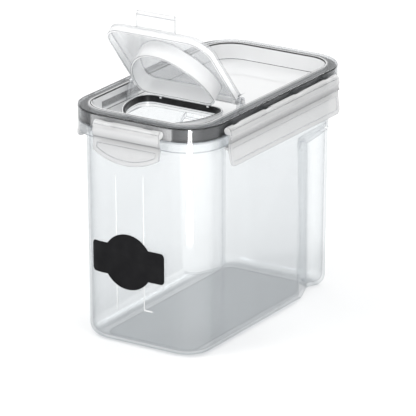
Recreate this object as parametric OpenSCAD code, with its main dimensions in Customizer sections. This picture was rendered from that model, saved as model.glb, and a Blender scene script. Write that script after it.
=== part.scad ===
// Clear cereal container with a latched lid and a flip spout.
// Front faces -Y, the length runs along Y and the base stands on z = 0.

/* [Container] */
// Outside width of the container just under its flange
body_w = 116; // [96:1:140]
// Outside length of the container just under its flange
body_l = 217; // [190:1:260]
// Height of the sealing edge above the base
body_h = 180.2; // [140:1:240]
// Wall thickness of the container
body_wall = 1.8; // [1.2:0.1:3]
// Thickness of the container floor
body_floor = 2.4; // [1.6:0.1:4]
// How far each wall leans in from the top to the base
body_draft = 1.8; // [0.5:0.1:4]
// Corner radius of the container at the top
body_corner_r = 26.5; // [20:0.5:34]
// Rounding between the walls and the base
foot_r = 9; // [5:0.5:14]
// How far the flange stands out from the wall
flange_reach = 6.2; // [5:0.1:8]
// Height of the flange's hanging lip
flange_drop = 8.5; // [6:0.5:12]
// Thickness of the flange
flange_t = 1.6; // [1.2:0.1:2.4]
// Depth of the ring that the container stands on
foot_ring_h = 0.8; // [0.4:0.1:1.5]

/* [Side grips] */
// Distance of the waist behind the middle of the container
grip_y = 84; // [70:1:88]
// Half of the container's width at the waist
grip_half_w = 42; // [36:0.5:48]
// Radius of the hollow at the waist
grip_r = 13; // [8:1:18]
// Slope of the long front flank of the grip, in degrees
grip_front_deg = 22; // [16:1:30]
// Slope of the short rear flank of the grip, in degrees
grip_rear_deg = 36; // [28:1:44]
// Height of the grip's shoulder above the base
grip_top = 144; // [110:1:150]
// Radius of the shoulder's front corner
grip_shoulder_r = 22; // [12:1:30]

/* [Lid] */
// How far the lid's rim stands out from the container's wall
rim_reach = 6.5; // [6:0.1:9]
// Height of the lid rim's side wall
rim_h = 11.7; // [9:0.1:16]
// Thickness of the lid's walls
lid_wall = 1.6; // [1.2:0.1:2.4]
// Width of the rim's flat top at the front
rim_band_front = 12.5; // [10:0.5:16]
// Depth of the tray inside the rim
tray_depth = 14; // [10:0.5:18]
// Rounding of the rim's outer top edge
rim_edge_r = 1.2; // [0.5:0.1:1.5]

/* [Spout] */
// Half of the width of the spout opening
spout_half_w = 38.5; // [30:0.5:42]
// Length of the curved front part of the spout opening
spout_nose = 50; // [42:1:54]
// Radius of the tip of the spout opening
spout_nose_r = 28; // [24:1:30]
// Length of the straight rear part of the spout opening
spout_rear = 13.5; // [12.5:0.5:16]
// Corner radius at the rear of the spout opening
spout_corner_r = 12; // [8:0.5:12]
// Place of the opening's straight rear edge, behind the middle
spout_back_y = -36; // [-40:0.5:-34]
// Height of the collar round the spout opening
collar_h = 8; // [7:0.5:12]
// Distance from the middle to each clip that holds the spout gasket
clip_x = 22; // [16:1:25]
// Width of each clip
clip_w = 2.4; // [1.6:0.2:4]
// How far each clip reaches down over the inside of the gasket
clip_drop = 1.4; // [0.8:0.1:2]

/* [Flip lid] */
// Width of the flip lid
flip_w = 96; // [86:1:98]
// Reach of the flip lid in front of its hinge
flip_reach = 75.5; // [72:0.5:77]
// Reach of the flip lid behind its hinge
flip_tail = 4; // [3:0.5:6]
// Thickness of the flip lid's plate and walls
flip_wall = 1.8; // [1.2:0.1:2.2]
// Height of the flip lid's skirt, plate included
flip_skirt = 7.2; // [5:0.1:9]
// Front corner radius of the flip lid
flip_corner_r = 18; // [12:1:26]
// Rear corner radius of the flip lid
flip_rear_r = 7; // [5:0.5:9]
// Depth that the plug ring reaches under the collar's top
plug_depth = 3; // [2.5:0.5:6]
// Width of the thumb tab
thumb_w = 36; // [28:1:48]
// Length of the thumb tab
thumb_l = 16; // [8:0.5:18]
// Upward slope of the thumb tab, in degrees
thumb_deg = 40; // [20:1:50]
// Place of the hinge pins along the container
hinge_y = -34.5; // [-38:0.5:-33]
// Radius of the hinge pins
hinge_pin_r = 1.8; // [1.4:0.1:2]
// Angle that the flip lid stands open, in degrees
flip_open = 50; // [0:1:115]

/* [Latches] */
// Length of the two end latches
short_latch_l = 61; // [50:1:63]
// Length of the two side latches
long_latch_l = 164; // [120:1:164]
// Height of a latch
latch_h = 31.8; // [26:0.2:36]
// Thickness of a latch
latch_t = 1.9; // [1.4:0.1:2.4]
// Radius of the rolled top edge of a latch
latch_roll_r = 3.1; // [2.9:0.1:3.4]
// Radius of the latch pins
latch_pin_r = 1.1; // [0.9:0.1:1.3]
// Height of the curved lower edge of an end latch
smile_h = 8.6; // [5:0.2:11]
// Width of each hinge lug
lug_w = 8; // [5:0.5:10]
// Thickness of the hook that catches under the flange
hook_t = 2.2; // [1.6:0.1:3]

/* [Gaskets and label] */
// Height of the spout gasket
spout_gasket_h = 5; // [2:0.5:6]
// Thickness of the spout gasket
spout_gasket_t = 1.5; // [1:0.1:2]
// Height of the wide foot of the lid gasket
lid_gasket_foot = 5.8; // [4:0.2:7]
// Thickness of the lid gasket's upper web
lid_gasket_web = 3.2; // [2:0.2:4]
// Width of the label
label_w = 68; // [50:1:80]
// Height of the label's band
label_band_h = 26; // [18:1:34]
// Radius of the label's round middle
label_round_r = 23; // [18:0.5:27]
// Height of the label's middle above the base
label_z = 71; // [60:1:100]
// Sideways place of the label's middle
label_x = -8; // [-12:1:12]
// Thickness of the label
label_t = 0.3; // [0.2:0.05:0.5]

/* [Clearances] */
// Gap where two still pieces seat on each other
seat_gap = 0.2; // [0.1:0.05:0.4]
// Gap between the tray and the mouth of the container
mouth_gap = 0.3; // [0.2:0.05:0.5]
// Gap between pieces that swing past each other
swing_gap = 0.4; // [0.3:0.05:0.6]
// Radial gap round the pins
pin_gap = 0.05; // [0.03:0.01:0.08]
// Gap between the plug ring and the spout gasket
plug_gap = 0.9; // [0.8:0.1:1.2]

/* [Hidden] */
$fn = 64;
label_gap = 0.05;
over = 0.5;   // how far a cutter runs past what it cuts
far = 400;    // longer than anything that is cut

// Container
body_top_x = body_w / 2;
body_top_y = body_l / 2;
corner_x = body_top_x - body_corner_r;
corner_y = body_top_y - body_corner_r;
foot_corner_r = body_corner_r - body_draft;
draft_deg = atan(body_draft / body_h);
flange_top = body_h - seat_gap;
flange_bottom = flange_top - flange_drop;

// Lid
rim_x = body_top_x + rim_reach;
rim_y = body_top_y + rim_reach;
rim_corner_r = body_corner_r + rim_reach;
rim_band = rim_reach + body_wall + mouth_gap + lid_wall;
rim_bottom = flange_top + mouth_gap;
rim_top = rim_bottom + rim_h;
tray_floor = rim_top - tray_depth;
tray_x = rim_x - rim_band;
tray_rear = rim_y - rim_band;
tray_front = rim_y - rim_band_front;
tray_r = rim_corner_r - rim_band;
collar_top = tray_floor + collar_h;
spout_y = spout_back_y - spout_rear;

// Spout outline: two side arcs that run smoothly into the tip's arc
nose_y = spout_nose - spout_nose_r;
side_r = (pow(spout_half_w, 2) + pow(nose_y, 2) - pow(spout_nose_r, 2))
    / (2 * (spout_half_w - spout_nose_r));
side_x = side_r - spout_half_w;
blend_y = nose_y * side_r / (side_r - spout_nose_r);

// Flip lid, measured from its hinge
flip_bottom = rim_top + seat_gap + 0.2;
flip_top = flip_bottom + flip_skirt;
hinge_z = flip_bottom + 1.6;
plug_bottom = collar_top - plug_depth;
clip_t = plug_gap / 2;
clip_rise = 0.7;
knuckle_r = hinge_pin_r + 1.6;
ear_t = 3.2;
ear_x = flip_w / 2 + swing_gap + 0.8;

// Latches, measured outwards from the rim's side wall
latch_axis_u = latch_roll_r + swing_gap;
latch_axis_z = rim_top - 6.7;
latch_bottom = latch_axis_z + latch_roll_r - latch_h;
bulge_u = latch_axis_u + latch_roll_r + 0.6;
bulge_z = latch_axis_z - 9;
bulge_top_z = latch_axis_z - 3;
waist_u = bulge_u - 1.1;
waist_z = bulge_z - 4;
flap_u = bulge_u + 0.9;
groove_r = 4.5;
groove_d = 0.7;
hook_top = flange_bottom - swing_gap;
hook_reach = rim_reach - flange_reach + 1.3;
lug_r = latch_pin_r + 0.85;
lug_arm = 1.8;
lug_deg = 40;
lug_window_deg = 82;
short_lugs = [-short_latch_l * 0.3, short_latch_l * 0.3];
long_lugs = [for (k = [-1.5 : 1 : 1.5]) k * long_latch_l * 0.28];

// ---- shared outlines ----

// Rounded rectangle whose half sizes are hx and hy
module round_rect(hx, hy, r) {
    square([2 * hx, 2 * (hy - r)], center = true);
    square([2 * (hx - r), 2 * hy], center = true);
    for (sx = [-1, 1], sy = [-1, 1])
        translate([sx * (hx - r), sy * (hy - r)]) circle(r);
}

// Tray outline, grown by g; its front is set back further than its rear
module tray_outline(g) {
    translate([0, (tray_rear - tray_front) / 2])
        round_rect(tray_x + g, (tray_rear + tray_front) / 2 + g, tray_r + g);
}

// Spout outline, grown by g: straight at the rear, drawn in to a round tip at the front
module spout_outline(g) {
    translate([0, spout_y]) {
        intersection() {
            translate([-side_x, 0]) circle(side_r + g, $fn = 160);
            translate([side_x, 0]) circle(side_r + g, $fn = 160);
            translate([-far / 2, -blend_y]) square([far, blend_y]);
        }
        translate([0, -nose_y]) circle(spout_nose_r + g, $fn = 96);
        spout_rear_part(g);
    }
}

// Rear part of the spout outline, with its two round corners
module spout_rear_part(g) {
    half = spout_half_w + g;
    rear = spout_rear + g;
    r = spout_corner_r + g;
    translate([-half, 0]) square([2 * half, rear - r]);
    translate([r - half, 0]) square([2 * (half - r), rear]);
    for (s = [-1, 1]) translate([s * (half - r), rear - r]) circle(r);
}

// Profile swept round the rim: x is measured outwards from the rim's side wall
module rim_sweep() {
    sweep_round(rim_x, rim_y, rim_corner_r) children();
}

// Sweeps a profile round a rectangle with half sizes hx and hy and corner radius r
module sweep_round(hx, hy, r) {
    for (q = [0, 1]) rotate(180 * q) {
        translate([hx, hy - r]) rotate([90, 0, 0]) linear_extrude(2 * (hy - r)) children();
        translate([r - hx, hy]) rotate([90, 0, 90])
            linear_extrude(2 * (hx - r)) children();
        translate([hx - r, hy - r]) rotate_extrude(angle = 90) translate([r, 0]) children();
        translate([r - hx, hy - r]) rotate(90)
            rotate_extrude(angle = 90) translate([r, 0]) children();
    }
}

// ---- container ----

// Half section of the container's wall with its rounded foot, from a corner's centre out;
// inset draws it in by a wall and lift raises its foot
module wall_section(inset, lift) {
    r0 = foot_corner_r - inset / cos(draft_deg);
    r1 = r0 + body_draft * (body_h + over) / body_h;
    f = foot_r - inset;
    fx = r0 + lift * tan(draft_deg) - f * (1 - sin(draft_deg)) / cos(draft_deg);
    polygon([[0, lift], [fx, lift], [fx + f * cos(draft_deg), lift + f * (1 - sin(draft_deg))],
        [r1, body_h + over], [0, body_h + over]]);
    translate([fx, lift + f]) circle(f);
}

// Solid of the container's outside, or of its inside when inset is the wall
module body_block(inset, lift) {
    for (sx = [-1, 1], sy = [-1, 1]) translate([sx * corner_x, sy * corner_y, 0])
        rotate_extrude() intersection() {
            wall_section(inset, lift);
            square([far, far]);
        }
    for (s = [-1, 1]) {
        rotate(90 - 90 * s) translate([corner_x, corner_y, 0]) rotate([90, 0, 0])
            linear_extrude(2 * corner_y) wall_section(inset, lift);
        rotate(90 * s) translate([corner_y, corner_x, 0]) rotate([90, 0, 0])
            linear_extrude(2 * corner_x) wall_section(inset, lift);
    }
    translate([-corner_x, -corner_y, lift])
        cube([2 * corner_x, 2 * corner_y, body_h + over - lift]);
}

// Plan of the right grip: a wedge with a round tip that opens outwards
module grip_plan(grow) {
    r = grip_r + grow;
    front = [sin(grip_front_deg), cos(grip_front_deg)];
    rear = [sin(grip_rear_deg), cos(grip_rear_deg)];
    translate([grip_half_w + grip_r, grip_y]) {
        circle(r);
        polygon([[0, 0], [-r * front[1], -r * front[0]],
            [far * front[0] - r * front[1], -far * front[1] - r * front[0]], [far, -far],
            [far, far], [far * rear[0] - r * rear[1], far * rear[1] + r * rear[0]],
            [-r * rear[1], r * rear[0]]]);
    }
}

// Side view of the grip: a shoulder that is rounded towards the front
module grip_side(grow) {
    top = grip_top + grow;
    start = corner_y / 2 - over;
    translate([start, -over]) square([far, top - grip_shoulder_r + over]);
    translate([start + grip_shoulder_r, -over]) square([far, top + over]);
    translate([start + grip_shoulder_r, top - grip_shoulder_r]) circle(grip_shoulder_r);
}

// Solid that is taken out of the right side; its roof rises towards the outside
module grip_cut(grow) {
    intersection() {
        translate([0, 0, -over]) linear_extrude(grip_top + grow + over) grip_plan(grow);
        rotate([90, 0, 90]) linear_extrude(far) grip_side(grow);
        translate([0, far / 2, 0]) rotate([90, 0, 0]) linear_extrude(far)
            polygon([[0, -over], [far, -over], [far, far],
                [grip_half_w - grow + far, grip_top - 18 + grow + far],
                [grip_half_w - grow, grip_top - 18 + grow], [0, grip_top - 18 + grow]]);
    }
}

// Outside or inside of the container with both grips
module body_form(inset, lift) {
    difference() {
        body_block(inset, lift);
        for (s = [0, 1]) mirror([s, 0, 0]) grip_cut(inset);
    }
}

// Flange round the mouth, with the lip that the latches hook under
module flange() {
    sweep_round(body_top_x, body_top_y, body_corner_r) {
        translate([-body_wall / 2, flange_top - flange_t])
            square([flange_reach + body_wall / 2, flange_t]);
        translate([flange_reach - flange_t, flange_bottom])
            square([flange_t, flange_drop]);
    }
}

module container_body() {
    color([0.93, 0.95, 0.96, 0.35]) {
        difference() {
            body_form(0, 0);
            body_form(body_wall, body_floor);
            translate([-far / 2, -far / 2, body_h]) cube([far, far, far]);
            translate([0, 0, -over]) linear_extrude(foot_ring_h + over)
                round_rect(corner_x + foot_r, corner_y + foot_r, foot_r);
        }
        flange();
    }
}

// ---- lid ----

// Side wall of the rim with its rounded top edge
module rim_wall_profile() {
    translate([-lid_wall, rim_bottom]) square([lid_wall, rim_h - rim_edge_r]);
    translate([-lid_wall - over, rim_top - lid_wall]) square([over + lid_wall - rim_edge_r, lid_wall]);
    translate([-rim_edge_r, rim_top - rim_edge_r]) intersection() {
        circle(rim_edge_r);
        square(rim_edge_r);
    }
}

// Flat top of the rim between its side wall and the tray
module rim_top_web() {
    translate([0, 0, rim_top - lid_wall]) linear_extrude(lid_wall) difference() {
        round_rect(rim_x - lid_wall, rim_y - lid_wall, rim_corner_r - lid_wall);
        tray_outline(0);
    }
}

// Tray: its wall, its floor and the collar of the spout
module tray() {
    difference() {
        translate([0, 0, tray_floor - lid_wall]) linear_extrude(tray_depth + lid_wall)
            tray_outline(lid_wall);
        translate([0, 0, tray_floor]) linear_extrude(far) tray_outline(0);
        translate([0, 0, tray_floor - far / 2]) linear_extrude(far) spout_outline(0);
    }
    translate([0, 0, tray_floor - lid_wall]) linear_extrude(collar_h + lid_wall)
        difference() {
            spout_outline(lid_wall);
            spout_outline(0);
        }
    spout_ledge();
}

// Ledge inside the collar that the spout gasket stands on
module spout_ledge() {
    translate([0, 0, collar_top - spout_gasket_h - seat_gap - lid_wall])
        linear_extrude(lid_wall) difference() {
            spout_outline(over);
            spout_outline(-spout_gasket_t / 2);
        }
}

// Small clips that hold the rear of the spout gasket: each reaches over it and a little down
module gasket_clips() {
    reach = spout_gasket_t + seat_gap + clip_t;
    for (s = [-1, 1]) translate([s * clip_x - clip_w / 2, spout_back_y - reach, 0]) {
        translate([0, 0, collar_top]) cube([clip_w, reach + lid_wall, clip_rise]);
        translate([0, 0, collar_top - clip_drop]) cube([clip_w, clip_t, clip_drop + over]);
    }
}

// Pair of ears on the tray floor that carry the flip lid's pins
module hinge_ears() {
    for (s = [0, 1]) mirror([s, 0, 0]) difference() {
        translate([ear_x, 0, 0]) rotate([90, 0, 90]) linear_extrude(ear_t) {
            translate([hinge_y, hinge_z]) circle(knuckle_r);
            polygon([[hinge_y - knuckle_r, hinge_z], [hinge_y + knuckle_r, hinge_z],
                [hinge_y + knuckle_r + 4, tray_floor - lid_wall / 2],
                [hinge_y - knuckle_r - 4, tray_floor - lid_wall / 2]]);
        }
        translate([ear_x - over, hinge_y, hinge_z]) rotate([0, 90, 0])
            cylinder(h = ear_t + 2 * over, r = hinge_pin_r + pin_gap);
    }
}

// Lugs on the right side wall that carry one latch's pin, at the places in list at;
// each rises to its pin from lower on the wall
module latch_lugs(at) {
    half = lug_arm / 2;
    n = half * [-sin(lug_deg), cos(lug_deg)];
    pin = [latch_axis_u, latch_axis_z];
    foot = [-lid_wall / 2, latch_axis_z - (latch_axis_u + lid_wall / 2) * tan(lug_deg)];
    for (y = at) translate([0, y + lug_w / 2, 0]) rotate([90, 0, 0])
        linear_extrude(lug_w) difference() {
            union() {
                translate(pin) circle(lug_r);
                polygon([pin + n, pin - n, foot - [0, half / cos(lug_deg)],
                    foot + [0, half / cos(lug_deg)]]);
            }
            translate(pin) circle(latch_pin_r + pin_gap);
        }
}

module lid_shell() {
    color([0.90, 0.92, 0.94, 0.4]) {
        rim_sweep() rim_wall_profile();
        rim_top_web();
        tray();
        gasket_clips();
        hinge_ears();
        for (s = [0, 1]) {
            rotate(180 * s) translate([rim_x, 0, 0]) latch_lugs(long_lugs);
            rotate(90 + 180 * s) translate([rim_y, 0, 0]) latch_lugs(short_lugs);
        }
    }
}

// ---- gaskets ----

module perimeter_gasket() {
    color([0.27, 0.28, 0.30]) rim_sweep() {
        translate([lid_wall + seat_gap - rim_band, body_h + seat_gap])
            square([rim_band - 2 * lid_wall - 2 * seat_gap, lid_gasket_foot]);
        translate([-lid_wall - seat_gap - lid_gasket_web, body_h + seat_gap])
            square([lid_gasket_web, rim_top - lid_wall - body_h - 2 * seat_gap]);
    }
}

module spout_gasket() {
    color([0.06, 0.06, 0.07])
        translate([0, 0, collar_top - spout_gasket_h - seat_gap / 2])
        linear_extrude(spout_gasket_h) difference() {
            spout_outline(-seat_gap / 2);
            spout_outline(-spout_gasket_t);
        }
}

// ---- flip lid, drawn closed about its hinge at the origin ----

// Outline of the flip lid, drawn in by g
module flip_outline(g) {
    half = flip_w / 2 - g;
    front_r = flip_corner_r - g;
    rear_r = flip_rear_r - g;
    front = -flip_reach + g;
    rear = flip_tail - g;
    translate([-half, front + front_r]) square([2 * half, rear - front - front_r - rear_r]);
    translate([front_r - half, front]) square([2 * (half - front_r), front_r + over]);
    translate([rear_r - half, rear - rear_r - over])
        square([2 * (half - rear_r), rear_r + over]);
    for (s = [-1, 1]) {
        translate([s * (half - front_r), front + front_r]) circle(front_r);
        translate([s * (half - rear_r), rear - rear_r]) circle(rear_r);
    }
}

// Plate and skirt of the flip lid
module flip_cap() {
    difference() {
        translate([0, 0, flip_bottom - hinge_z]) linear_extrude(flip_skirt) flip_outline(0);
        translate([0, 0, flip_bottom - hinge_z - over])
            linear_extrude(flip_skirt - flip_wall + over) flip_outline(flip_wall);
    }
}

// Ring that plugs the spout gasket
module plug_ring() {
    grow = -spout_gasket_t - plug_gap;
    translate([0, -hinge_y, plug_bottom - hinge_z])
        linear_extrude(flip_top - plug_bottom - flip_wall / 2) difference() {
            spout_outline(grow);
            spout_outline(grow - flip_wall);
        }
}

// Hinge pins and the knuckles that they stand on
module flip_hinge() {
    for (s = [0, 1]) mirror([s, 0, 0]) rotate([0, 90, 0]) {
        translate([0, 0, flip_w / 2 - flip_wall - 2]) cylinder(h = flip_wall + 2, r = knuckle_r);
        translate([0, 0, flip_w / 2 - flip_wall])
            cylinder(h = ear_x + ear_t - flip_w / 2 + flip_wall, r = hinge_pin_r);
    }
}

// Thumb tab with a rolled edge, rising from the front of the plate
module thumb_tab() {
    translate([0, -flip_reach + flip_wall, flip_top - hinge_z - flip_wall])
        rotate([-thumb_deg, 0, 0]) {
            translate([-thumb_w / 2, -thumb_l + 2, 0])
                cube([thumb_w, thumb_l - 2 + flip_wall / 2, flip_wall]);
            translate([-thumb_w / 2, 2 - thumb_l, flip_wall / 2]) rotate([0, 90, 0])
                cylinder(h = thumb_w, r = flip_wall * 0.95);
        }
}

module flip_lid() {
    color([0.92, 0.93, 0.95, 0.45])
        translate([0, hinge_y, hinge_z]) rotate([-flip_open, 0, 0]) {
            flip_cap();
            plug_ring();
            flip_hinge();
            thumb_tab();
        }
}

// ---- latches, drawn on the right side with x measured out from the rim wall ----

// Section of a latch: rolled top, bulge, waist, flaring flap, and the hook behind the waist;
// a grooved one has a shallow hollow along its bulge
module latch_section(grooved) {
    t = latch_t;
    translate([latch_axis_u, latch_axis_z]) circle(latch_roll_r);
    difference() {
        polygon([[latch_axis_u + latch_roll_r, latch_axis_z + 0.6], [bulge_u, bulge_top_z],
            [bulge_u + 0.2, bulge_z], [waist_u, bulge_z - 0.8], [waist_u, waist_z],
            [flap_u, latch_bottom], [flap_u - t, latch_bottom], [waist_u - t, waist_z],
            [waist_u - t, bulge_z], [bulge_u - t, bulge_top_z],
            [latch_axis_u, latch_axis_z - latch_roll_r], [latch_axis_u, latch_axis_z]]);
        if (grooved) translate([bulge_u + groove_r - groove_d, (bulge_top_z + bulge_z) / 2])
            circle(groove_r);
    }
    polygon([[-hook_reach, hook_top], [waist_u - t / 2, hook_top],
        [waist_u - t / 2, hook_top - hook_t - 1.6], [-hook_reach, hook_top - hook_t * 0.7]]);
}

// Side view of a side latch: a long panel with rounded lower corners
module long_outline(g) {
    top = latch_axis_z + latch_roll_r;
    r = 5;
    translate([-long_latch_l / 2 + g, latch_bottom + r])
        square([long_latch_l - 2 * g, top - latch_bottom - r]);
    translate([-long_latch_l / 2 + r, latch_bottom + g])
        square([long_latch_l - 2 * r, r + over]);
    for (s = [-1, 1]) translate([s * (long_latch_l / 2 - r), latch_bottom + r]) circle(r - g);
}

// Side view of an end latch: a panel whose lower edge is one shallow curve
module short_outline(g) {
    top = latch_axis_z + latch_roll_r;
    half = short_latch_l / 2;
    arc_r = (pow(half, 2) + pow(smile_h, 2)) / (2 * smile_h);
    intersection() {
        translate([-half + g, latch_bottom - over]) square([2 * (half - g), top - latch_bottom + over]);
        translate([0, latch_bottom + arc_r]) circle(arc_r - g, $fn = 200);
    }
}

// One latch of length l; short says which outline it has and at lists its lugs
module latch(l, short, at) {
    rest = l / 2 - 3;
    difference() {
        intersection() {
            translate([0, l / 2, 0]) rotate([90, 0, 0]) linear_extrude(l) latch_section(!short);
            translate([-10, 0, 0]) rotate([90, 0, 90]) linear_extrude(40)
                if (short) short_outline(0);
                else long_outline(0);
        }
        for (y = at) lug_pocket(y);
        for (s = [0, 1]) mirror([0, s, 0])
            translate([-hook_reach - over, rest, hook_top - 10])
                cube([hook_reach + waist_u - latch_t - 0.1 + over, 10, 10 + over]);
        flap_panel(short);
    }
    translate([latch_axis_u, l / 2 - 1, latch_axis_z]) rotate([90, 0, 0])
        cylinder(h = l - 2, r = latch_pin_r);
}

// Room in a latch for one lug, through the whole swing
module lug_pocket(y) {
    w = lug_w + 2 * swing_gap;
    room = lug_r + 0.3;
    translate([latch_axis_u, y + w / 2, latch_axis_z]) rotate([90, 0, 0]) linear_extrude(w) {
        circle(room);
        polygon([[0, 0], far * [cos(lug_window_deg), sin(lug_window_deg)], [-far, far],
            [-far, -latch_roll_r - swing_gap], [0, -latch_roll_r - swing_gap]]);
    }
}

// Shallow panel sunk into the outside of the flap
module flap_panel(short) {
    tilt = atan((flap_u - waist_u) / (waist_z - latch_bottom));
    translate([flap_u, 0, latch_bottom]) rotate([0, -tilt, 0])
        translate([-0.5, 0, -latch_bottom]) rotate([90, 0, 90]) linear_extrude(3)
        intersection() {
            if (short) short_outline(3.6);
            else long_outline(3.6);
            translate([-far / 2, latch_bottom]) square([far, waist_z - 1.2 - latch_bottom]);
        }
}

module end_latch() {
    latch(short_latch_l, true, short_lugs);
}

module side_latch() {
    latch(long_latch_l, false, long_lugs);
}

module latch_right() {
    color([0.86, 0.88, 0.90, 0.6]) translate([rim_x, 0, 0]) side_latch();
}

module latch_left() {
    color([0.86, 0.88, 0.90, 0.6]) rotate(180) translate([rim_x, 0, 0]) side_latch();
}

module latch_front() {
    color([0.90, 0.91, 0.93, 0.6]) rotate(-90) translate([rim_y, 0, 0]) end_latch();
}

module latch_rear() {
    color([0.90, 0.91, 0.93, 0.6]) rotate(90) translate([rim_y, 0, 0]) end_latch();
}

// ---- label ----

// Bare plaque that follows the wall: a band behind a round middle
module label() {
    color([0.05, 0.05, 0.06]) intersection() {
        difference() {
            body_block(-label_t - label_gap, 0);
            body_block(-label_gap, 0);
        }
        translate([label_x, 0, label_z]) rotate([90, 0, 0]) linear_extrude(far) {
            round_rect(label_w / 2, label_band_h / 2, 3.5);
            circle(label_round_r, $fn = 96);
        }
    }
}

container_body();
lid_shell();
perimeter_gasket();
spout_gasket();
flip_lid();
latch_front();
latch_rear();
latch_left();
latch_right();
label();
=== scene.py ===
"""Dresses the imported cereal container: finishes, moulded details, floor, light and camera."""

import math

import bpy
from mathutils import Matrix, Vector


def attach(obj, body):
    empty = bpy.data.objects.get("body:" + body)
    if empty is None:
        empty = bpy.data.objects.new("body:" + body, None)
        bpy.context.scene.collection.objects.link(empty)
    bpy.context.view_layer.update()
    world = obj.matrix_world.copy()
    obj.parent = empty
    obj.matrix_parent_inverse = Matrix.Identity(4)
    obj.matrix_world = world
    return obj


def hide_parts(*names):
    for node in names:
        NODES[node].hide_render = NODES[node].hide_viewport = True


bl_info = {
    "name": "Cereal Container",
    "version": (1, 0, 0),
    "blender": (4, 5, 0),
    "location": "View3D > Sidebar > Container",
    "description": "Finishes and moulded details for a clear cereal container with a flip spout",
    "category": "Object",
}

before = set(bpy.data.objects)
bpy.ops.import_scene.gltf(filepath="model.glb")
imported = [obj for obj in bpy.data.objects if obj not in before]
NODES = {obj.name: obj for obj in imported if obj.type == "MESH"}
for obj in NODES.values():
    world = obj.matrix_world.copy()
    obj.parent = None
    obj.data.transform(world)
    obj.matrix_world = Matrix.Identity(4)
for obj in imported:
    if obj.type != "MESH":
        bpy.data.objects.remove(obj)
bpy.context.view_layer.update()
MM = 0.001
MERGE = 0.000001

# How far the edges of each kind of piece are rounded, in millimetres
CLEAR_ROUND = 0.35
RUBBER_ROUND = 0.4
LATCH_ROUND = 0.25
LABEL_ROUND = 0.08

# Least angle in degrees of an edge that is rounded; the cover's ring and the lid's lugs have
# shallower creases that stay as they are
ROUND_FROM = 32
COVER_ROUND_FROM = 38
LID_ROUND_FROM = 56

# Angles in degrees: below the first, faces of a solid become one; below the others, faces shade
# as one, on a solid's copy and on a level mark
FLAT_UNDER = 0.8
SMOOTH_UNDER = 50
RIB_SMOOTH_UNDER = 40

# Rounding of a level mark's edges, as a share of its least size
RIB_ROUND = 0.45

# The cover's plate as it stands open: its normal, and how far its underside lies along it
OPEN = math.radians(50)
PLATE_NORMAL = (0, math.sin(OPEN), math.cos(OPEN))
HINGE = (0, -0.0345, 0.194)
PLATE_LEVEL = HINGE[1] * PLATE_NORMAL[1] + HINGE[2] * PLATE_NORMAL[2] + 0.0038

# The plug ring begins under the plate, and holds this share of milk
RING_TOP = PLATE_LEVEL - 0.0015
RING_MILK = 0.62

# Middle of a corner's arc in the lid's plan; a spot's reach is its distance outside the rectangle
# between the four. All places on the lid are in metres.
CORNER_MIDDLE = (0.0315, 0.082, 0)
# Reach over which the rounded edges turn from the tray's tint to the rim's painted shade
RIM_SHADE_REACH = (0.0215, 0.0222)

# Painted shade line round the tray's top edge, for the shadowed gap seen through the wall: from and
# to which reach, and from which height
TRAY_SHADE_LINE_REACH = (0.0223, 0.0233)
TRAY_SHADE_LINE_FOOT = 0.1907
TRAY_SHADE_LINE_SHARE = 0.95

# Painted shade line round the rim's rounded outer edge: from which reach, between which heights,
# and how far back
RIM_SHADE_LINE_REACH = 0.0317
RIM_SHADE_LINE_LEVELS = (0.1904, 0.1915)
RIM_SHADE_LINE_FADES = (0.095, 0.105)
RIM_SHADE_LINE_SHARE = 0.8
SHADE_LINE_SOFT = 0.0002

# Milk in the tray fades out over this reach, and stands behind the end latches up to their lugs
TRAY_MILK_FADES = (0.0235, 0.0255)
TRAY_MILK = 0.82
END_ZONE_SIDE = 0.0370
END_ZONE_BACK = 0.1120
END_ZONE_TOP = 0.1899
END_ZONE_TOP_SOFT = 0.0004
END_ZONE_MILK = 0.22
ZONE_SOFT = 0.0006

# Clearer low band of the tray's side walls, where the gasket's foot shows
CLEAR_LEVELS = (0.1802, 0.1858)
CLEAR_STRETCH = (-0.0734, -0.0160)
CLEAR_SIDE = 0.0524
CLEAR_SIDE_SOFT = 0.0008
CLEAR_SHARE = 0.75

# Ears of the cover's hinge, which are clearer than the tray that they stand on
EAR_SIDES = (0.0488, 0.0525)
EAR_BACKS = (-0.0432, -0.0262)
EAR_FOOT = 0.1786
EAR_SIDE_SOFT = 0.0003
EAR_SOFT = 0.0004
EAR_SHARE = 0.8

# Heights on a latch in millimetres, and how light it is painted there: painted light and shade by
# height, with a painted highlight on the roll, a painted shade line at the step and darker painted
# shade round it
END_PAINTED_SHADING = (
    (156, 0.77),
    (172, 0.76),
    (174.5, 0.66),
    (175.8, 0.40),
    (176.8, 0.68),
    (181, 0.84),
    (187, 0.96),
)
SIDE_PAINTED_SHADING = (
    (156, 0.80),
    (170, 0.78),
    (174.8, 0.72),
    (175.8, 0.42),
    (177, 0.62),
    (182, 0.74),
    (187, 0.92),
)

# Front wall in millimetres: how far out its foot stands, how much further its top, and its height;
# its lean is in degrees
WALL_FOOT = 106.7
WALL_SPREAD = 1.8
WALL_HEIGHT = 180.2
WALL_LEAN = 0.572

# Level marks in millimetres: how far to the right each stands, its lower and its upper end
MARKS = ((-18.5, 30, 142), (7.0, 33, 145))
MARK_WIDTH = 0.7

# Foot of the right mark in millimetres: how far to the right and how high its middle is, its
# length and its height; it stands a little less proud than the mark
MARK_FOOT_PLACE = (10.9, 33.6)
MARK_FOOT_SIZE = (7.6, 1.2)
MARK_FOOT_RISE = 0.9

# Indices of refraction
CLEAR_IOR = 1.49
RUBBER_IOR = 1.5

# Share of light that clear plastic mirrors face on, how its growth towards the edges bends, and
# the share that its rounded edges mirror
MIRROR_LEAST = 0.04
MIRROR_BEND = 5.0
EDGE_MIRROR = 0.12

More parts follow.
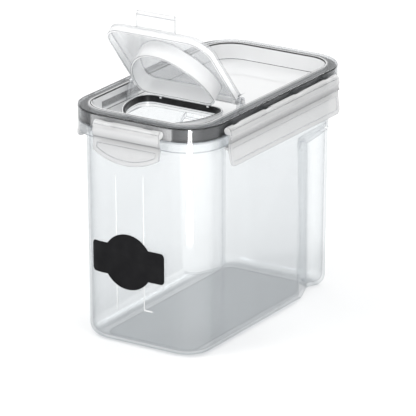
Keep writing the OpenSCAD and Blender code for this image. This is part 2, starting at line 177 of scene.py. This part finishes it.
# Sizes of the patterns in the finishes and depths of their reliefs, in metres
WAVE_SIZE = 0.045
SCUFF_SIZE = 0.002
EDGE_SCUFF_SIZE = 0.003
FROST_SIZE = 0.0006
FROST_CLOUD_SIZE = 0.018
BLOOM_SIZE = 0.012
RUBBER_GRAIN_SIZE = 0.0005
PAPER_CLOUD_SIZE = 0.6
WAVE_DEPTH = 0.0008
GRAIN_DEPTH = 0.0001

# Lowest and highest roughness of finishes
EDGE_ROUGHNESS = (0.1, 0.2)
FROST_ROUGHNESS = (0.2, 0.32)
MILK_ROUGHNESS = 0.3
RUBBER_SWAY = 0.08
PAPER_ROUGHNESS = 0.9

# Colours of finishes that the settings don't list
PALE_MILK = (0.93, 0.933, 0.936)
WALL_GLOSS = (0.97, 0.975, 0.98)
EDGE_GLOSS = (0.95, 0.955, 0.96)
LATCH_EDGE = (0.5, 0.51, 0.52)
LID_TINT = (0.96, 0.965, 0.97)
COVER_TINT = (0.965, 0.967, 0.97)
PALE_FLOOR = (0.95, 0.95, 0.95)

# Lamps: name, place and size in metres, and power in watts
LAMPS = (
    ("key_light", (-1.2, -1.4, 1.9), 1.4, 22),
    ("fill_light", (1.9, -0.9, 1.3), 1.2, 9),
    ("back_light", (0.3, 1.8, 1.6), 1.4, 16),
)
LAMP_AIM = (0, 0, 0.12)

# Slim card on the floor: its place, length and width in metres, and its turn in degrees
STRIP_PLACE = (0.361, -0.488, 0.002)
STRIP_LENGTH = 0.5
STRIP_WIDTH = 0.11
STRIP_TURN = (180, 0, -50.5)

FLOOR_SIDE = 14

# Camera: its place in metres, its turn in degrees and the width of its film in millimetres
CAMERA_PLACE = (1.6227, -2.5674, 1.1437)
CAMERA_TURN = (70.80, 0, 32.32)
CAMERA_FILM = 36
CAMERA_SIGHT = 50


# ---- shader helpers ----


class Socket:
    """A shader output that Python's operators turn into Math nodes."""

    def __init__(self, finish, out):
        self.finish = finish
        self.out = out

    def _math(self, operation, first, second):
        return self.finish.add("ShaderNodeMath", {"operation": operation}, {0: first, 1: second})

    def __add__(self, other):
        return self._math("ADD", self, other)

    def __radd__(self, other):
        return self._math("ADD", other, self)

    def __sub__(self, other):
        return self._math("SUBTRACT", self, other)

    def __rsub__(self, other):
        return self._math("SUBTRACT", other, self)

    def __mul__(self, other):
        return self._math("MULTIPLY", self, other)

    def __rmul__(self, other):
        return self._math("MULTIPLY", other, self)

    def __pow__(self, other):
        return self._math("POWER", self, other)

    def __rpow__(self, other):
        return self._math("POWER", other, self)


class Finish:
    """One material, whose nodes are added by a single method."""

    def __init__(self, name):
        self.material = bpy.data.materials.new(name)
        self.material.use_nodes = True
        self.tree = self.material.node_tree
        self.tree.nodes.clear()
        self.surface_out = self.tree.nodes.new("ShaderNodeOutputMaterial")

    def add(self, kind, settings=None, values=None, out=0):
        """Adds a node of a kind, sets it, fills its sockets and returns one of its outputs."""
        node = self.tree.nodes.new(kind)
        for key, setting in (settings or {}).items():
            if key == "stops":
                self._set_stops(node.color_ramp, setting)
            else:
                setattr(node, key, setting)
        for key, value in (values or {}).items():
            if isinstance(value, Socket):
                self.tree.links.new(value.out, node.inputs[key])
            else:
                node.inputs[key].default_value = value
        return Socket(self, node.outputs[out])

    @staticmethod
    def _set_stops(ramp, stops):
        """Gives a ramp its stops: each has a place from 0 to 1 and a lightness."""
        while len(ramp.elements) < len(stops):
            ramp.elements.new(0.5)
        for element, (place, light) in zip(ramp.elements, stops):
            element.position = place
            element.color = (light, light, light, 1)

    def place(self, scale=(1, 1, 1)):
        """Object coordinates, stretched by a scale."""
        return self.add("ShaderNodeMapping", values={"Vector": self.spot(), "Scale": scale})

    def noise(self, size, detail=2.0, scale=(1, 1, 1)):
        """Soft noise whose lumps measure about size metres."""
        return self.add(
            "ShaderNodeTexNoise",
            values={"Vector": self.place(scale), "Scale": 1 / size, "Detail": detail},
        )

    def span(self, value, low, high):
        """Stretches a value from the range 0.3..0.7 to low..high, and holds it there."""
        return self.add(
            "ShaderNodeMapRange",
            values={
                "Value": value,
                "From Min": 0.3,
                "From Max": 0.7,
                "To Min": low,
                "To Max": high,
            },
        )

    def ramp(self, value, start, end, low, high):
        """Runs from low to high while a value runs from start to end, and holds outside."""
        return self.add(
            "ShaderNodeMapRange",
            values={
                "Value": value,
                "From Min": start,
                "From Max": end,
                "To Min": low,
                "To Max": high,
            },
        )

    def above(self, value, start, soft):
        """None below start, and one from a soft step above it."""
        return self.ramp(value, start, start + soft, 0.0, 1.0)

    def below(self, value, end, soft):
        """One up to end, and none from a soft step above it."""
        return self.ramp(value, end, end + soft, 1.0, 0.0)

    def within(self, value, span, soft):
        """One between the two ends of a span, and none outside, with soft steps."""
        return self.above(value, span[0], soft) * self.below(value, span[1], soft)

    def spot(self):
        """Object coordinates as they are."""
        return self.add("ShaderNodeTexCoord", out="Object")

    def vector(self, operation, first, second=None, out="Vector"):
        """One step of vector maths."""
        values = {0: first} if second is None else {0: first, 1: second}
        return self.add("ShaderNodeVectorMath", {"operation": operation}, values, out=out)

    def facing(self, relief):
        """None face on, and one where a surface is seen from the side."""
        values = {"Blend": 0.5, "Normal": relief}
        return self.add("ShaderNodeLayerWeight", values=values, out="Facing")

    def part(self, vector, axis):
        """One of a vector's three numbers."""
        return self.add("ShaderNodeSeparateXYZ", values={"Vector": vector}, out=axis)

    def blend(self, factor, first, second):
        """Mixes two colours."""
        return self.add(
            "ShaderNodeMix",
            {"data_type": "RGBA"},
            {0: factor, 6: first, 7: second},
            out=2,
        )

    def mix(self, factor, first, second):
        """Mixes two shaders."""
        values = {0: factor, 1: first, 2: second}
        return self.add("ShaderNodeMixShader", values=values, out="Shader")

    def film(self, shade):
        """Lets light straight through, tinted by one colour."""
        return self.add("ShaderNodeBsdfTransparent", values={"Color": colour(shade)})

    def bump(self, height, strength, depth):
        """Tilts the surface by a height; depth is in metres."""
        return self.add(
            "ShaderNodeBump",
            values={"Height": height, "Strength": strength, "Distance": depth},
        )

    def show(self, shader):
        """Makes a shader the material's surface, and returns the material."""
        self.tree.links.new(shader.out, self.surface_out.inputs["Surface"])
        return self.material


def colour(shade):
    """A colour with its alpha, as sockets take it."""
    return (shade[0], shade[1], shade[2], 1.0)


def clear_plastic(name, look, tint, edge_tint, haze, milky=None, wave=1.0, lines=None):
    """Clear moulded plastic: see-through face on, greyer towards its edges, and glossy.

    haze is how much milk it has all over; milky gives a further share from the finish's own nodes,
    wave scales the slow waves of the surface, and lines tells where painted shade lines darken it."""
    f = Finish(name)
    flow = f.noise(WAVE_SIZE, 1.0, (1, 1, 0.5))
    scuffs = f.noise(SCUFF_SIZE, 3.0)
    relief = f.bump(flow, look.waviness * wave, WAVE_DEPTH)
    facing = f.facing(relief)
    film = f.mix(facing**look.edge_falloff, f.film(tint), f.film(edge_tint))
    patches = f.span(flow, 0.0, 1.0)
    milk = f.add(
        "ShaderNodeBsdfPrincipled",
        values={
            "Base Color": f.blend(patches, colour(look.milk_shade), colour(PALE_MILK)),
            "Roughness": f.span(
                scuffs, MILK_ROUGHNESS - 0.08 * wave, MILK_ROUGHNESS + 0.1 * wave
            ),
            "IOR": CLEAR_IOR,
            "Normal": relief,
        },
    )
    polished = look.clear_roughness * (1 - 0.3 * wave)
    scuffed = look.clear_roughness * (1 + 0.5 * wave)
    shine = f.add(
        "ShaderNodeBsdfPrincipled",
        values={
            "Base Color": colour(WALL_GLOSS),
            "Metallic": 1.0,
            "Roughness": f.span(scuffs, polished, scuffed),
            "Normal": relief,
        },
    )
    clouded = haze if milky is None else milky(f) + haze
    inside = f.mix(clouded, film, milk)
    # Painted shade lines, where they are given
    if lines:
        inside = f.mix(lines(f), inside, f.film(look.rim_painted_shade))
    mirror = facing**MIRROR_BEND * (1 - MIRROR_LEAST) + MIRROR_LEAST
    return f.show(f.mix(mirror, inside, shine))


def edge_finish(name, tint, painted_shade_tint=None, where=None):
    """Rounded edges of clear plastic, which bend the light aside and look darker than the walls.

    where tells from the finish's own nodes how far the edge takes the darker tint, which is painted
    shade."""
    f = Finish(name)
    film = f.film(tint)
    if where:
        film = f.mix(where(f), film, f.film(painted_shade_tint))
    shine = f.add(
        "ShaderNodeBsdfPrincipled",
        values={
            "Base Color": colour(EDGE_GLOSS),
            "Metallic": 1.0,
            "Roughness": f.span(f.noise(EDGE_SCUFF_SIZE, 2.0), *EDGE_ROUGHNESS),
        },
    )
    return f.show(f.mix(EDGE_MIRROR, film, shine))


def reach_out(f):
    """How far a spot lies outside the long rectangle between the middles of the lid's corners."""
    past = f.vector("SUBTRACT", f.vector("ABSOLUTE", f.spot()), CORNER_MIDDLE)
    outside = f.vector("MAXIMUM", past, (0, 0, 0))
    level = f.vector("MULTIPLY", outside, (1, 1, 0))
    return f.vector("LENGTH", level, out="Value")


def rim_shade_mask(f):
    """One on the rim, where the rounded edges take the painted shade, none on what stands in the
    tray.
    """
    return f.ramp(reach_out(f), *RIM_SHADE_REACH, 0.0, 1.0)


def rim_shade_lines(f):
    """Painted shade: dark lines round the tray's top edge and round the rim's rounded outer edge.
    """
    spot = f.spot()
    level = f.part(spot, "Z")
    reach = reach_out(f)
    inner = f.within(reach, TRAY_SHADE_LINE_REACH, SHADE_LINE_SOFT) * f.above(level, TRAY_SHADE_LINE_FOOT, SHADE_LINE_SOFT)
    outer = f.above(reach, RIM_SHADE_LINE_REACH, SHADE_LINE_SOFT) * f.within(level, RIM_SHADE_LINE_LEVELS, SHADE_LINE_SOFT)
    fade = f.ramp(f.part(spot, "Y"), *RIM_SHADE_LINE_FADES, 1.0, 0.0)
    return inner * TRAY_SHADE_LINE_SHARE + outer * fade * RIM_SHADE_LINE_SHARE


def ring_milk(f):
    """More milk in the plug ring, which lies under the cover's plate."""
    along_normal = f.vector("DOT_PRODUCT", f.spot(), PLATE_NORMAL, out="Value")
    return f.ramp(along_normal, RING_TOP, RING_TOP + MM, RING_MILK, 0.0)


def lid_milk(f):
    """More milk in the tray's walls and floor, and in the rim's wall behind the end latches.

    A low band of the tray's side walls and the ears of the hinge stay clearer."""
    spot = f.spot()
    level, back = f.part(spot, "Z"), f.part(spot, "Y")
    side = f.vector("ABSOLUTE", spot)
    apart, along = f.part(side, "X"), f.part(side, "Y")
    tray = f.ramp(reach_out(f), *TRAY_MILK_FADES, TRAY_MILK, 0.0)
    near = f.below(apart, END_ZONE_SIDE, ZONE_SOFT) * END_ZONE_MILK
    end = f.above(along, END_ZONE_BACK, ZONE_SOFT)
    end = end * f.below(level, END_ZONE_TOP, END_ZONE_TOP_SOFT)
    low_band = f.within(level, CLEAR_LEVELS, ZONE_SOFT) * f.within(back, CLEAR_STRETCH, ZONE_SOFT)
    clear = low_band * f.above(apart, CLEAR_SIDE, CLEAR_SIDE_SOFT) * CLEAR_SHARE
    ears = f.within(apart, EAR_SIDES, EAR_SIDE_SOFT) * f.within(back, EAR_BACKS, EAR_SOFT)
    ears = ears * f.above(level, EAR_FOOT, EAR_SOFT) * EAR_SHARE
    return tray * (1.0 - clear) * (1.0 - ears) + near * end


def frosted_plastic(name, look, painted_shading):
    """Half-clear frosted plastic of a latch, with light and shade painted on by height; the last
    argument lists heights and how light it is painted there.
    """
    f = Finish(name)
    grain = f.noise(FROST_SIZE, 2.0)
    cloud = f.noise(FROST_CLOUD_SIZE, 3.0)
    relief = f.bump(grain, 0.1, GRAIN_DEPTH)
    facing = f.facing(relief)
    low, high = painted_shading[0][0], painted_shading[-1][0]
    level = f.ramp(f.part(f.spot(), "Z"), low * MM, high * MM, 0.0, 1.0)
    stops = [((height - low) / (high - low), light) for height, light in painted_shading]
    # Painted light and shade by height, in the skin's colour and in how much the film lets through
    band = f.add("ShaderNodeValToRGB", {"stops": stops}, {0: level}, out="Color")
    shade = f.blend(f.span(cloud, 0.0, 0.12), band, colour(look.latch_shade))
    painted_shade_film = f.mix(band, f.film((0, 0, 0)), f.film((1, 1, 1)))
    film = f.mix(facing**look.edge_falloff, painted_shade_film, f.film(LATCH_EDGE))
    skin = f.add(
        "ShaderNodeBsdfPrincipled",
        values={
            "Base Color": shade,
            "Roughness": f.span(grain, *FROST_ROUGHNESS),
            "IOR": CLEAR_IOR,
            "Normal": relief,
        },
    )
    return f.show(f.mix(facing**3.0 * 0.4 + look.latch_density, film, skin))


def soft_rubber(name, shade, worn, roughness, gloss):
    """Soft rubber or film with a faint bloom and a fine grain; gloss is its share of shine."""
    f = Finish(name)
    bloom = f.noise(BLOOM_SIZE, 3.0)
    grain = f.noise(RUBBER_GRAIN_SIZE, 2.0)
    skin = f.add(
        "ShaderNodeBsdfPrincipled",
        values={
            "Base Color": f.blend(f.span(bloom, 0.0, 1.0), colour(shade), colour(worn)),
            "Roughness": f.span(grain, roughness - RUBBER_SWAY, roughness + RUBBER_SWAY),
            "IOR": RUBBER_IOR,
            "Specular IOR Level": gloss,
            "Normal": f.bump(grain, 0.3, GRAIN_DEPTH),
        },
    )
    return f.show(skin)


# ---- modelling helpers ----


def deselect():
    """Leaves nothing selected."""
    bpy.ops.object.select_all(action="DESELECT")


def settle(obj, name):
    """Names a finished piece and puts its place into its mesh."""
    deselect()
    obj.select_set(True)
    bpy.context.view_layer.objects.active = obj
    bpy.ops.object.transform_apply(location=True, rotation=True, scale=True)
    obj.name = name
    obj.data.name = name
    return obj


def paint(obj, material):
    """Gives a piece one material all over."""
    obj.data.materials.clear()
    obj.data.materials.append(material)


def soften(node, name, body, material, width, edge=None, sharp=ROUND_FROM):
    """Shows a solid as a copy whose sharp edges are rounded as moulded ones are.

    width is in millimetres. edge is the finish of the rounded edges, where it differs, and sharp is
    the least angle in degrees of an edge that is rounded. Large faces keep their own normals."""
    deselect()
    piece = bpy.data.objects.new(name, NODES[node].data.copy())
    bpy.context.collection.objects.link(piece)
    piece.select_set(True)
    bpy.context.view_layer.objects.active = piece
    bpy.ops.object.mode_set(mode="EDIT")
    bpy.ops.mesh.select_all(action="SELECT")
    bpy.ops.mesh.remove_doubles(threshold=MERGE)
    bpy.ops.mesh.dissolve_limited(angle_limit=math.radians(FLAT_UNDER))
    bpy.ops.object.mode_set(mode="OBJECT")
    round_off = piece.modifiers.new("round_off", "BEVEL")
    round_off.width = width * MM
    round_off.segments = 2
    round_off.limit_method = "ANGLE"
    round_off.angle_limit = math.radians(sharp)
    round_off.use_clamp_overlap = False
    paint(piece, material)
    if edge:
        piece.data.materials.append(edge)
        round_off.material = 1
    bpy.ops.object.modifier_apply(modifier="round_off")
    bpy.ops.object.shade_smooth_by_angle(angle=math.radians(SMOOTH_UNDER))
    flat_walls = piece.modifiers.new("flat_walls", "WEIGHTED_NORMAL")
    flat_walls.keep_sharp = True
    bpy.ops.object.modifier_apply(modifier="flat_walls")
    piece.data.name = name
    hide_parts(node)
    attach(piece, body)


def wall_at(height):
    """How far to the front the wall stands at a height, in millimetres."""
    return -(WALL_FOOT + WALL_SPREAD * height / WALL_HEIGHT)


def ridge(name, middle, size, tilt):
    """A slim raised rib with rounded edges, lying on the front wall; sizes are in metres."""
    deselect()
    bpy.ops.mesh.primitive_cube_add(size=1, location=middle, rotation=(tilt, 0, 0), scale=size)
    rib = bpy.context.active_object
    bpy.ops.object.transform_apply(location=False, rotation=False, scale=True)
    bpy.ops.object.mode_set(mode="EDIT")
    bpy.ops.mesh.select_all(action="SELECT")
    bpy.ops.mesh.bevel(offset=min(size) * RIB_ROUND, segments=3, affect="EDGES")
    bpy.ops.object.mode_set(mode="OBJECT")
    bpy.ops.object.shade_smooth_by_angle(angle=math.radians(RIB_SMOOTH_UNDER))
    return settle(rib, name)


# ---- settings ----


class ContainerLook(bpy.types.PropertyGroup):
    """Colours and finishes."""

    clear_tint: bpy.props.FloatVectorProperty(
        name="Clear tint",
        description="What clear plastic lets through face on",
        default=(0.965, 0.972, 0.975),
        subtype="COLOR",
        min=0,
        max=1,
    )
    clear_edge: bpy.props.FloatVectorProperty(
        name="Clear edge tint",
        description="What clear plastic lets through towards its edges",
        default=(0.42, 0.44, 0.46),
        subtype="COLOR",
        min=0,
        max=1,
    )
    body_edge: bpy.props.FloatVectorProperty(
        name="Body edge tint",
        description="What the container's walls let through towards their edges",
        default=(0.58, 0.60, 0.62),
        subtype="COLOR",
        min=0,
        max=1,
    )
    body_line: bpy.props.FloatVectorProperty(
        name="Body edge line",
        description="What the container's rounded edges let through",
        default=(0.62, 0.63, 0.65),
        subtype="COLOR",
        min=0,
        max=1,
    )
    clear_roughness: bpy.props.FloatProperty(
        name="Clear roughness",
        description="Roughness of the clear plastic",
        default=0.06,
        min=0,
        max=1,
        subtype="FACTOR",
    )
    edge_falloff: bpy.props.FloatProperty(
        name="Edge falloff",
        description="How sharply clear plastic darkens towards its edges",
        default=2.2,
        min=1,
        max=8,
    )
    milk_shade: bpy.props.FloatVectorProperty(
        name="Milk shade",
        description="Colour of the milk in clouded plastic",
        default=(0.88, 0.885, 0.89),
        subtype="COLOR",
        min=0,
        max=1,
    )
    waviness: bpy.props.FloatProperty(
        name="Waviness",
        description="Strength of the slow waves in moulded walls",
        default=0.12,
        min=0,
        max=1,
        subtype="FACTOR",
    )
    latch_shade: bpy.props.FloatVectorProperty(
        name="Latch shade",
        description="Colour of the frosted latches",
        default=(0.86, 0.88, 0.90),
        subtype="COLOR",
        min=0,
        max=1,
    )
    latch_density: bpy.props.FloatProperty(
        name="Latch density",
        description="How much a frosted latch hides face on",
        default=0.42,
        min=0,
        max=1,
        subtype="FACTOR",
    )
    gasket_shade: bpy.props.FloatVectorProperty(
        name="Lid gasket shade",
        description="Colour of the gasket under the rim",
        default=(0.030, 0.031, 0.033),
        subtype="COLOR",
        min=0,
        max=1,
    )
    gasket_bloom: bpy.props.FloatVectorProperty(
        name="Lid gasket bloom",
        description="Colour of the paler patches on the gasket under the rim",
        default=(0.045, 0.046, 0.049),
        subtype="COLOR",
        min=0,
        max=1,
    )
    label_bloom: bpy.props.FloatVectorProperty(
        name="Label bloom",
        description="Colour of the paler patches on the label",
        default=(0.013, 0.013, 0.014),
        subtype="COLOR",
        min=0,
        max=1,
    )
    label_shade: bpy.props.FloatVectorProperty(
        name="Label shade",
        description="Colour of the label and the spout gasket",
        default=(0.008, 0.008, 0.009),
        subtype="COLOR",
        min=0,
        max=1,
    )
    cover_line: bpy.props.FloatVectorProperty(
        name="Cover edge line",
        description="What the flip cover's rounded edges let through",
        default=(0.52, 0.53, 0.54),
        subtype="COLOR",
        min=0,
        max=1,
    )
    tray_line: bpy.props.FloatVectorProperty(
        name="Tray edge line",
        description="What the rounded edges of the tray and of the latches let through",
        default=(0.60, 0.61, 0.63),
        subtype="COLOR",
        min=0,
        max=1,
    )
    # Colour of the painted shade in the rim's dark lines and on its rounded edges
    rim_painted_shade: bpy.props.FloatVectorProperty(
        name="Rim line",
        description="What the dark lines of the rim let through",
        default=(0.05, 0.052, 0.055),
        subtype="COLOR",
        min=0,
        max=1,
    )
    mark_rise: bpy.props.FloatProperty(
        name="Mark height",
        description="How far the level marks stand out of the wall",
        default=0.0003,
        min=0.0001,
        max=0.001,
        unit="LENGTH",
    )


class StageLook(bpy.types.PropertyGroup):
    """Floor, light and camera."""

    floor_shade: bpy.props.FloatVectorProperty(
        name="Floor shade",
        description="Colour of the floor",
        default=(0.93, 0.93, 0.93),
        subtype="COLOR",
        min=0,
        max=1,
    )
    sky_power: bpy.props.FloatProperty(
        name="Sky power",
        description="Strength of the light from all round",
        default=0.85,
        min=0,
        max=5,
    )
    strip_power: bpy.props.FloatProperty(
        name="Strip power",
        description="Power of the slim card in front, in watts",
        default=3.4,
        min=0,
        max=20,
    )
    lens: bpy.props.FloatProperty(
        name="Lens",
        description="Focal length of the camera in millimetres",
        default=346.15,
        min=20,
        max=600,
    )


# ---- pieces ----


class CONTAINER_OT_body(bpy.types.Operator):
    """Finish the clear container"""

    bl_idname = "container.body"
    bl_label = "Container Body"

    def execute(self, context):
        look = context.scene.container_look
        finish = clear_plastic("clear_body", look, look.clear_tint, look.body_edge, 0.03, wave=0.6)
        edge = edge_finish("clear_body_edge", look.body_line)
        soften("container_body", "body", "container", finish, CLEAR_ROUND, edge)
        return {"FINISHED"}


class CONTAINER_OT_marks(bpy.types.Operator):
    """Model the raised level marks on the front wall"""

    bl_idname = "container.marks"
    bl_label = "Level Marks"

    def execute(self, context):
        look = context.scene.container_look
        finish = clear_plastic("clear_mark", look, look.clear_tint, look.body_edge, 0.75)
        for number, (x, low, high) in enumerate(MARKS):
            size = (MARK_WIDTH, high - low)
            self.mark(f"level_mark_{number}", (x, (low + high) / 2), size, look.mark_rise, finish)
        rise = look.mark_rise * MARK_FOOT_RISE
        self.mark("level_mark_foot", MARK_FOOT_PLACE, MARK_FOOT_SIZE, rise, finish)
        return {"FINISHED"}

    def mark(self, name, place, size, rise, finish):
        """Adds one rib; place and size are in millimetres across and up the wall."""
        x, z = place
        mark = ridge(
            name,
            (x * MM, wall_at(z) * MM, z * MM),
            (size[0] * MM, 2 * rise, size[1] * MM),
            math.radians(WALL_LEAN),
        )
        paint(mark, finish)
        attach(mark, "container")


class CONTAINER_OT_lid(bpy.types.Operator):
    """Finish the clear lid"""

    bl_idname = "container.lid"
    bl_label = "Lid"

    def execute(self, context):
        look = context.scene.container_look
        # The lid's finish paints dark shade lines round the tray's top edge and the rim's outer
        # edge, and its rim's rounded edges take painted shade
        finish = clear_plastic(
            "clear_lid", look, LID_TINT, look.clear_edge, 0.0, lid_milk, 0.03, rim_shade_lines
        )
        edge = edge_finish("clear_lid_edge", look.tray_line, look.rim_painted_shade, rim_shade_mask)
        soften(
            "lid_shell", "lid", "container", finish, CLEAR_ROUND, edge, LID_ROUND_FROM
        )
        return {"FINISHED"}


class CONTAINER_OT_gaskets(bpy.types.Operator):
    """Finish the lid gasket and the spout gasket"""

    bl_idname = "container.gaskets"
    bl_label = "Gaskets"

    def execute(self, context):
        look = context.scene.container_look
        grey = soft_rubber("grey_rubber", look.gasket_shade, look.gasket_bloom, 0.45, 0.5)
        black = soft_rubber("black_rubber", look.label_shade, look.label_bloom, 0.35, 0.15)
        soften("perimeter_gasket", "rim_gasket", "container", grey, RUBBER_ROUND)
        soften("spout_gasket", "mouth_gasket", "container", black, RUBBER_ROUND)
        return {"FINISHED"}


class CONTAINER_OT_flip_cover(bpy.types.Operator):
    """Finish the flip-up cover"""

    bl_idname = "container.flip_cover"
    bl_label = "Flip Cover"

    def execute(self, context):
        look = context.scene.container_look
        finish = clear_plastic(
            "clear_flip", look, COVER_TINT, look.clear_edge, 0.2, ring_milk, 0.05
        )
        edge = edge_finish("clear_flip_edge", look.cover_line)
        name = "flip_cover"
        soften(
            "flip_lid", name, name, finish, CLEAR_ROUND, edge, COVER_ROUND_FROM
        )
        return {"FINISHED"}


class CONTAINER_OT_latches(bpy.types.Operator):
    """Finish the four latches"""

    bl_idname = "container.latches"
    bl_label = "Latches"

    def execute(self, context):
        look = context.scene.container_look
        # Both latch finishes paint light and shade by height: a highlight on the roll, a shade line
        # at the step and darker shade round it
        short = frosted_plastic("frosted_latch", look, END_PAINTED_SHADING)
        long = frosted_plastic("frosted_side_latch_painted_shade", look, SIDE_PAINTED_SHADING)
        edge = edge_finish("frosted_edge", look.tray_line)
        for side, finish in (("front", short), ("rear", short), ("left", long), ("right", long)):
            name = f"{side}_latch"
            soften(f"latch_{side}", name, name, finish, LATCH_ROUND, edge)
        return {"FINISHED"}


class CONTAINER_OT_label(bpy.types.Operator):
    """Finish the bare label"""

    bl_idname = "container.label"
    bl_label = "Label"

    def execute(self, context):
        look = context.scene.container_look
        finish = soft_rubber("matte_film", look.label_shade, look.label_bloom, 0.5, 0.05)
        soften("label", "plaque", "container", finish, LABEL_ROUND)
        return {"FINISHED"}


class CONTAINER_OT_stage(bpy.types.Operator):
    """Add the floor, the light and the camera"""

    bl_idname = "container.stage"
    bl_label = "Stage"

    def execute(self, context):
        look = context.scene.container_stage
        self.floor(look)
        self.sky(context.scene, look)
        for lamp in LAMPS:
            self.soft_light(*lamp)
        self.strip_card(look)
        self.camera(context.scene, look)
        return {"FINISHED"}

    def floor(self, look):
        """A plain pale floor."""
        deselect()
        bpy.ops.mesh.primitive_plane_add(size=FLOOR_SIDE, location=(0, 0, 0))
        floor = settle(bpy.context.active_object, "floor")
        f = Finish("studio_floor")
        cloud = f.span(f.noise(PAPER_CLOUD_SIZE, 2.0), 0.0, 1.0)
        paper = f.add(
            "ShaderNodeBsdfPrincipled",
            values={
                "Base Color": f.blend(cloud, colour(look.floor_shade), colour(PALE_FLOOR)),
                "Roughness": PAPER_ROUGHNESS,
            },
        )
        paint(floor, f.show(paper))

    def sky(self, scene, look):
        """Even white light from all round."""
        scene.view_settings.view_transform = "Standard"
        world = bpy.data.worlds.new("studio_sky")
        scene.world = world
        world.use_nodes = True
        back = world.node_tree.nodes["Background"]
        back.inputs["Color"].default_value = (1, 1, 1, 1)
        back.inputs["Strength"].default_value = look.sky_power

    def soft_light(self, name, place, size, power):
        """A round lamp that points at the container."""
        deselect()
        bpy.ops.object.light_add(type="AREA", location=place)
        lamp = bpy.context.active_object
        lamp.name = name
        lamp.data.name = name
        lamp.data.shape = "DISK"
        lamp.data.size = size
        lamp.data.energy = power
        aim = Vector(LAMP_AIM) - Vector(place)
        lamp.rotation_euler = aim.to_track_quat("-Z", "Y").to_euler()

    def strip_card(self, look):
        """A slim card on the floor, which draws a bright line down the front right corner."""
        deselect()
        turn = [math.radians(angle) for angle in STRIP_TURN]
        bpy.ops.object.light_add(type="AREA", location=STRIP_PLACE, rotation=turn)
        card = bpy.context.active_object
        card.name = "strip_card"
        card.data.name = "strip_card"
        card.data.shape = "RECTANGLE"
        card.data.size = STRIP_LENGTH
        card.data.size_y = STRIP_WIDTH
        card.data.energy = look.strip_power

    def camera(self, scene, look):
        """A long lens from the front right and above."""
        deselect()
        turn = [math.radians(angle) for angle in CAMERA_TURN]
        bpy.ops.object.camera_add(location=CAMERA_PLACE, rotation=turn)
        eye = bpy.context.active_object
        eye.name = "camera"
        eye.data.lens = look.lens
        eye.data.sensor_width = CAMERA_FILM
        eye.data.clip_end = CAMERA_SIGHT
        scene.camera = eye


OPERATORS = (
    CONTAINER_OT_stage,
    CONTAINER_OT_body,
    CONTAINER_OT_marks,
    CONTAINER_OT_lid,
    CONTAINER_OT_gaskets,
    CONTAINER_OT_flip_cover,
    CONTAINER_OT_latches,
    CONTAINER_OT_label,
)


class CONTAINER_PT_panel(bpy.types.Panel):
    """Lists the container's pieces"""

    bl_idname = "CONTAINER_PT_panel"
    bl_label = "Container"
    bl_space_type = "VIEW_3D"
    bl_region_type = "UI"
    bl_category = "Container"

    def draw(self, context):
        for group in (context.scene.container_look, context.scene.container_stage):
            for key in group.__annotations__:
                self.layout.prop(group, key)
        for operator in OPERATORS:
            self.layout.operator(operator.bl_idname)


CLASSES = (ContainerLook, StageLook) + OPERATORS + (CONTAINER_PT_panel,)


def register():
    """Adds the settings, the operators and the panel."""
    for item in CLASSES:
        bpy.utils.register_class(item)
    bpy.types.Scene.container_look = bpy.props.PointerProperty(type=ContainerLook)
    bpy.types.Scene.container_stage = bpy.props.PointerProperty(type=StageLook)


def unregister():
    """Takes them away again."""
    del bpy.types.Scene.container_stage
    del bpy.types.Scene.container_look
    for item in reversed(CLASSES):
        bpy.utils.unregister_class(item)


def main():
    """Builds the whole scene."""
    register()
    for operator in OPERATORS:
        group, name = operator.bl_idname.split(".")
        getattr(getattr(bpy.ops, group), name)()


if __name__ == "__main__":
    main()
